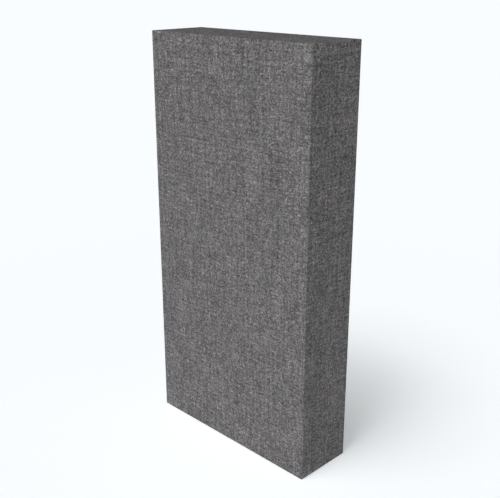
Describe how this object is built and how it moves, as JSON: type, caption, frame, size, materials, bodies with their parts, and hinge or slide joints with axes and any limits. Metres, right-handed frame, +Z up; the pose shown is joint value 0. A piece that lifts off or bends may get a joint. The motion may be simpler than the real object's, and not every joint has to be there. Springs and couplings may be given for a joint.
{
  "type": "bass trap",
  "caption": "Free-standing deep rectangular bass trap, a mineral wool core in a timber frame covered in grey woven cloth.",
  "frame": {"origin": "middle of the base, on the floor that the trap stands on", "axes": "+Z up along the height, -Y out of the wide cloth front, +Y out of the back, X along the width"},
  "size_m": [0.6, 0.188, 1.2],
  "materials": {
    "grey_woven_cloth": "matt heather cloth in dark and light grey yarns",
    "black_dust_cloth": "thin matt black non-woven cloth",
    "planed_pine": "planed, unfinished",
    "mineral_wool": "matt yellow-brown fibre"
  },
  "bodies": {
    "root": {"cloth_cover": "grey_woven_cloth", "dust_cover": "black_dust_cloth", "side_board_left": "planed_pine", "side_board_right": "planed_pine", "bottom_board": "planed_pine", "top_board": "planed_pine", "back_brace_1": "planed_pine", "back_brace_2": "planed_pine", "wool_slab_1": "mineral_wool", "wool_slab_2": "mineral_wool"}
  },
  "joints": []
}
